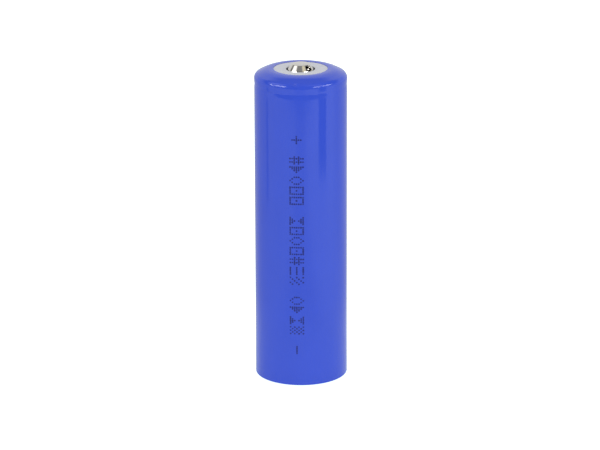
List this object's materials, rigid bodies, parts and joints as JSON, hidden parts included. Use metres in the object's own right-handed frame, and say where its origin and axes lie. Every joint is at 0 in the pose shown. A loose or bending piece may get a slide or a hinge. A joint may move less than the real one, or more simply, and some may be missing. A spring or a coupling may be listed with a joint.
{
  "type": "cylindrical battery cell",
  "caption": "Rechargeable cylindrical lithium-ion cell in a blue shrink sleeve, with a raised button terminal, safety cap, wound electrodes and a protection board.",
  "frame": {"origin": "centre of the negative contact's outer face, at the bottom of the cell", "axes": "+Z along the cell's axis, from the negative contact to the button; -Y is the side that carries the print, and the hidden positive strip runs down the +Y side"},
  "size_m": [0.0216, 0.0216, 0.0751],
  "materials": {
    "blue_film": "glossy heat-shrunk film with a dot-matrix print",
    "white_fibre": "matt pressed fibre",
    "nickel": "bright nickel plate",
    "nickel_steel": "deep-drawn nickel-plated steel",
    "aluminium": "rolled",
    "polymer": "moulded",
    "ptc_compound": "carbon-filled polymer",
    "fish_paper": "vulcanised paper",
    "polyimide": "amber tape",
    "cathode_coating": "calendered oxide coating on aluminium foil",
    "anode_coating": "calendered graphite coating on copper foil",
    "separator_film": "microporous film",
    "board_laminate": "glass laminate with solder mask",
    "chip_mould": "moulded epoxy",
    "chip_ceramic": "fired ceramic"
  },
  "bodies": {
    "cell": {"sleeve": "blue_film", "top_insulating_washer": "white_fibre", "button_terminal": "nickel", "positive_strip": "nickel", "strip_insulating_tape": "polyimide", "crimp_insulating_washer": "fish_paper", "can": "nickel_steel", "sealing_gasket": "polymer", "positive_cap": "nickel_steel", "ptc_ring": "ptc_compound", "interrupter_plate": "aluminium", "interrupter_ring": "polymer", "upper_insulator": "polymer", "lower_insulator": "polymer", "cathode_sheet": "cathode_coating", "anode_sheet": "anode_coating", "separator_inner": "separator_film", "separator_outer": "separator_film", "centre_pin": "nickel_steel", "lower_roll_tape": "polyimide", "upper_roll_tape": "polyimide", "positive_tab": "aluminium", "negative_tab": "nickel", "negative_link": "nickel", "board_insulator": "fish_paper", "board_spacer_ring": "polymer", "protection_board": "board_laminate", "switch_transistor_a": "chip_mould", "switch_transistor_b": "chip_mould", "protection_chip": "chip_mould", "sense_resistor": "chip_ceramic", "filter_capacitor": "chip_ceramic", "negative_contact": "nickel"},
    "vent": {"vent_disc": "aluminium"}
  },
  "joints": [
    {"name": "vent_snap", "type": "slide", "parent": "cell", "child": "vent", "axis": [0, 0, 1], "range_m": [0, 0.0006], "deforming": ["vent_disc"]}
  ]
}
